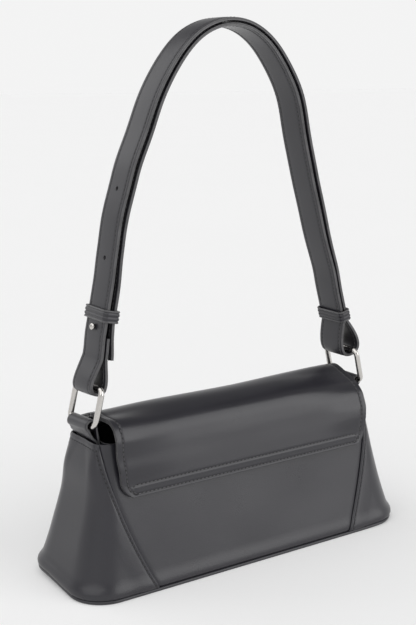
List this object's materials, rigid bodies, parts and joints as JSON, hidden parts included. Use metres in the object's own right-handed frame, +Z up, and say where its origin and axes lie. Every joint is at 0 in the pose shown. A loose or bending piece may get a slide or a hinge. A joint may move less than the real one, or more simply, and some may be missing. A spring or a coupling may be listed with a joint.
{
  "type": "shoulder bag",
  "caption": "Small flared shoulder bag with a flap sewn to its back, metal side rings on leather tabs and a doubled adjustable strap with sliding keepers.",
  "frame": {"origin": "middle of the base's underside, on the surface the bag stands on", "axes": "+Z up through the strap's arch, +X along the bag towards the strap's open loop, +Y to the front that the flap closes over; the picture shows the back, at -Y"},
  "size_m": [0.2676, 0.0876, 0.36],
  "materials": {
    "leather": "smooth satin black grain",
    "strap_leather": "smooth satin black with painted edges",
    "lining": "matt woven black",
    "nickel": "polished nickel plate",
    "board": "plain stiffening board"
  },
  "bodies": {
    "bag": {"back_panel": "leather", "front_panel": "leather", "gusset_left": "leather", "gusset_right": "leather", "base_panel": "leather", "base_welt": "leather", "base_board": "board", "lining": "lining", "mouth_facing": "leather", "flap_sewn_leather": "leather", "flap_sewn_lining": "lining", "tab_left": "leather", "tab_right": "leather", "snap_body": "nickel", "snap_washer": "nickel"},
    "flap_roof": {"flap_roof_leather": "leather", "flap_roof_lining": "lining"},
    "flap_front": {"flap_front_leather": "leather", "flap_front_lining": "lining", "snap_flap": "nickel"},
    "ring_left": {"ring_left": "nickel"},
    "ring_right": {"ring_right": "nickel"},
    "strap": {"strap_band": "strap_leather", "strap_stud": "nickel", "stud_screw": "nickel"},
    "keeper_left": {"keeper_left": "strap_leather"},
    "keeper_right": {"keeper_right": "strap_leather"}
  },
  "joints": [
    {"name": "flap_lift", "type": "hinge", "parent": "bag", "child": "flap_roof", "pos_m": [0, -0.03109, 0.09722], "axis": [1, 0, 0], "range_deg": [0, 9]},
    {"name": "flap_fold", "type": "hinge", "parent": "flap_roof", "child": "flap_front", "pos_m": [0, 0.02272, 0.10303], "axis": [1, 0, 0], "range_deg": [0, 150]},
    {"name": "ring_left_swing", "type": "hinge", "parent": "bag", "child": "ring_left", "pos_m": [-0.111, 0, 0.1038], "axis": [0, 1, 0], "range_deg": [-9, 9]},
    {"name": "ring_right_swing", "type": "hinge", "parent": "bag", "child": "ring_right", "pos_m": [0.111, 0, 0.1038], "axis": [0, 1, 0], "range_deg": [-9, 9]},
    {"name": "strap_tilt", "type": "hinge", "parent": "ring_left", "child": "strap", "pos_m": [-0.1053, 0, 0.1275], "axis": [0, 1, 0], "range_deg": [-9.6, 9.6]},
    {"name": "keeper_left_slide", "type": "slide", "parent": "strap", "child": "keeper_left", "axis": [0.2028, 0, 0.9792], "range_m": [0, 0.012]},
    {"name": "keeper_right_slide", "type": "slide", "parent": "strap", "child": "keeper_right", "axis": [-0.2723, 0, 0.9622], "range_m": [0, 0.012]}
  ],
  "couplings": [
    {"joint": "ring_right_swing", "follows": "ring_left_swing", "ratio": 1},
    {"joint": "strap_tilt", "follows": "ring_left_swing", "ratio": -1.0541}
  ]
}
